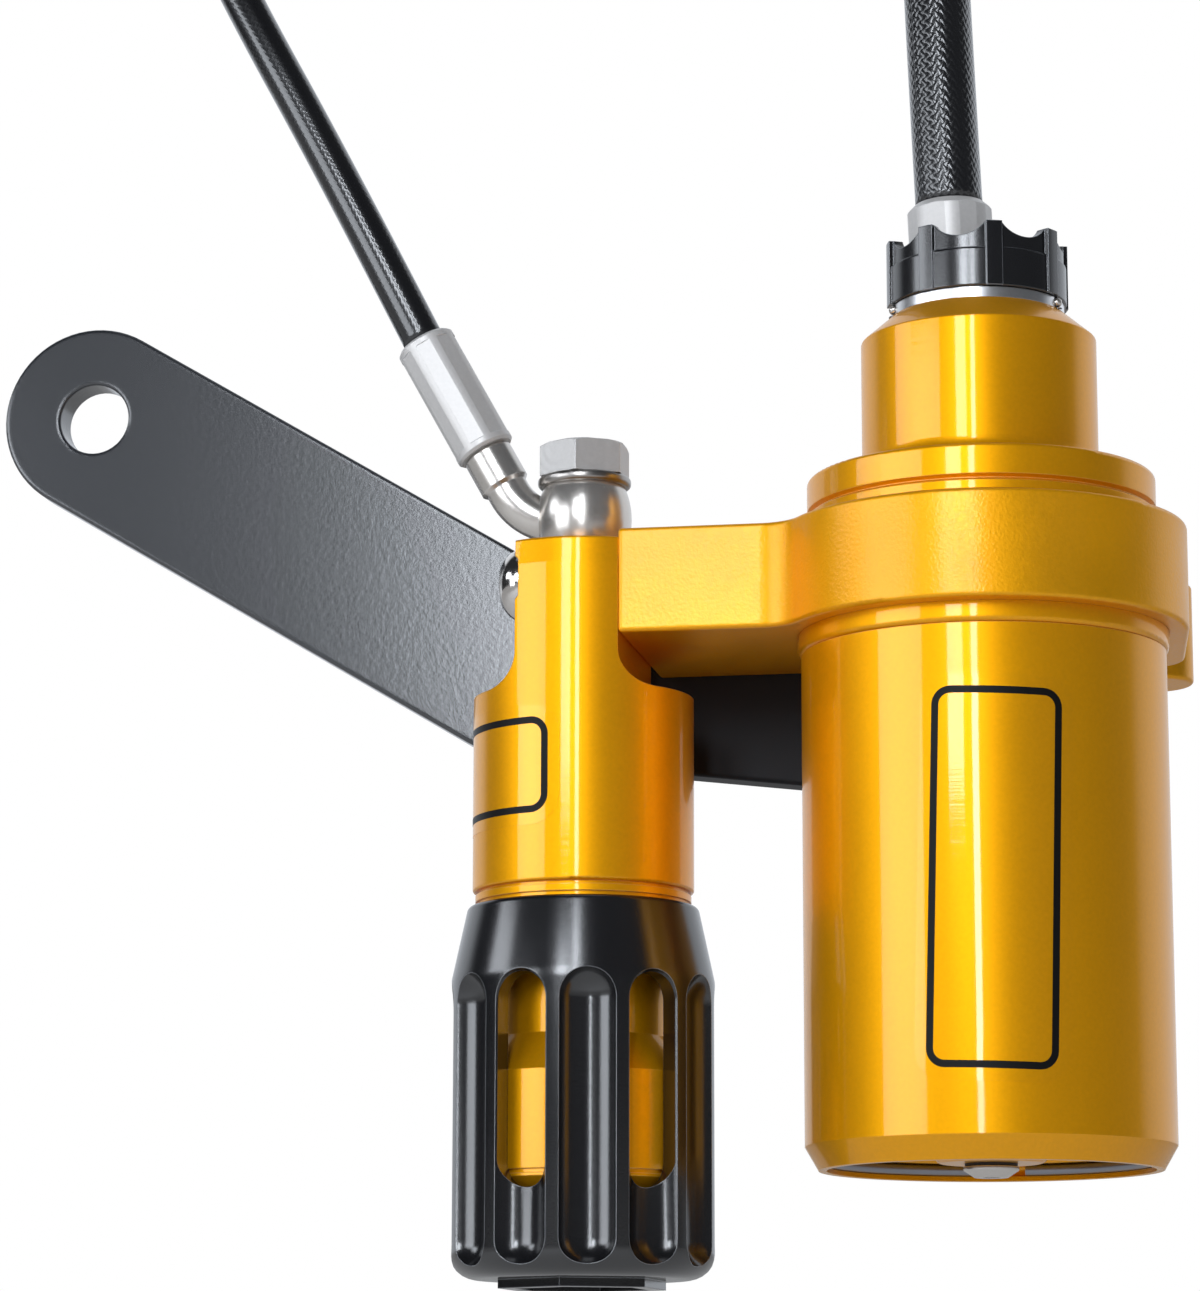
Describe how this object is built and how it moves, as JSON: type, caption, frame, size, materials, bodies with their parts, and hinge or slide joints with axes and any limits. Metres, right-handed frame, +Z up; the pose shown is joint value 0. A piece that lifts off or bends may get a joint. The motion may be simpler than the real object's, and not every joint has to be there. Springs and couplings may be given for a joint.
{
  "type": "motorcycle shock absorber remote unit",
  "caption": "Rear shock absorber's remote reservoir with a compression dial, and a hydraulic spring preload adjuster, in one split clamp on a cranked bracket, with both hoses.",
  "frame": {"origin": "centre of the bracket's fixing hole, at the middle of the plate's thickness", "axes": "+Z up along the reservoir, towards its hose; +Y from the front to the back, along the bracket's hole; +X from the bracket's hole to the reservoir"},
  "size_m": [0.1846, 0.1641, 0.2639],
  "materials": {
    "gold_turned": "turned and gold anodised, satin",
    "gold_blasted": "bead blasted and gold anodised, matte",
    "black_anodised": "turned, milled and black anodised, semi gloss",
    "bare_aluminium": "turned, bare",
    "black_paint": "satin black paint with a fine orange peel",
    "bright_steel": "polished and plated",
    "turned_steel": "turned, fine concentric marks",
    "spring_steel": "plain spring steel",
    "black_hose": "clear coated braid over black, glossy",
    "seal_rubber": "moulded, matte",
    "glide_plastic": "filled glide plastic, matte",
    "sealing_copper": "soft sealing metal, bare"
  },
  "bodies": {
    "unit": {"mounting_bracket": "black_paint", "reservoir_clamp": "gold_blasted", "clamp_pinch_screw": "bright_steel", "clamp_pinch_washer": "bright_steel", "bracket_screws": "bright_steel", "bracket_screw_washers": "bright_steel", "reservoir_tube": "gold_turned", "reservoir_end_cap": "gold_turned", "end_cap_seal": "seal_rubber", "gas_valve_screw": "bright_steel", "gas_valve_seal": "seal_rubber", "end_cap_circlip": "spring_steel", "reservoir_head": "gold_turned", "reservoir_head_seal": "seal_rubber", "dial_detent_plate": "bare_aluminium", "dial_click_balls": "bright_steel", "dial_click_springs": "spring_steel", "dial_snap_ring": "spring_steel", "hose_union": "turned_steel", "hose_union_seal": "seal_rubber", "reservoir_hose_ferrule": "turned_steel", "reservoir_hose": "black_hose", "reservoir_hose_end_ferrule": "turned_steel", "reservoir_hose_end_banjo": "bright_steel", "adjuster_body": "gold_turned", "adjuster_mount_screws": "bright_steel", "adjuster_end_plug": "sealing_copper", "knob_click_ball": "bright_steel", "knob_click_spring": "spring_steel", "preload_banjo": "bright_steel", "banjo_sealing_washers": "bright_steel", "banjo_bolt": "turned_steel", "preload_hose_ferrule": "turned_steel", "preload_hose": "black_hose", "preload_hose_end_ferrule": "turned_steel", "preload_hose_end_banjo": "bright_steel"},
    "compression_dial": {"compression_dial": "black_anodised"},
    "compression_needle": {"compression_needle": "turned_steel"},
    "floating_piston": {"floating_piston": "bare_aluminium", "floating_piston_band": "glide_plastic", "floating_piston_seal": "seal_rubber"},
    "preload_piston": {"preload_piston": "bare_aluminium", "preload_piston_seal": "seal_rubber", "thrust_ball": "bright_steel"},
    "preload_knob": {"adjuster_knob": "black_anodised", "lead_screw": "turned_steel", "knob_circlip": "spring_steel"}
  },
  "joints": [
    {"name": "dial_turn", "type": "hinge", "parent": "unit", "child": "compression_dial", "pos_m": [0.1408, -0.0273, 0.0043], "axis": [0, 0, 1], "range_deg": [-300, 0]},
    {"name": "needle_slide", "type": "slide", "parent": "unit", "child": "compression_needle", "axis": [0, 0, 1], "range_m": [-0.00151, 0]},
    {"name": "gas_piston_slide", "type": "slide", "parent": "unit", "child": "floating_piston", "axis": [0, 0, 1], "range_m": [-0.018, 0.009]},
    {"name": "preload_travel", "type": "slide", "parent": "unit", "child": "preload_piston", "axis": [0, 0, 1], "range_m": [-0.01351, 0]},
    {"name": "knob_turn", "type": "hinge", "parent": "preload_piston", "child": "preload_knob", "pos_m": [0.0824, -0.0253, -0.13], "axis": [0, 0, 1], "range_deg": [-3240, 0]}
  ],
  "couplings": [
    {"joint": "needle_slide", "follows": "dial_turn", "m_per_rad": 0.00028648},
    {"joint": "preload_travel", "follows": "knob_turn", "m_per_rad": 0.00023873}
  ]
}
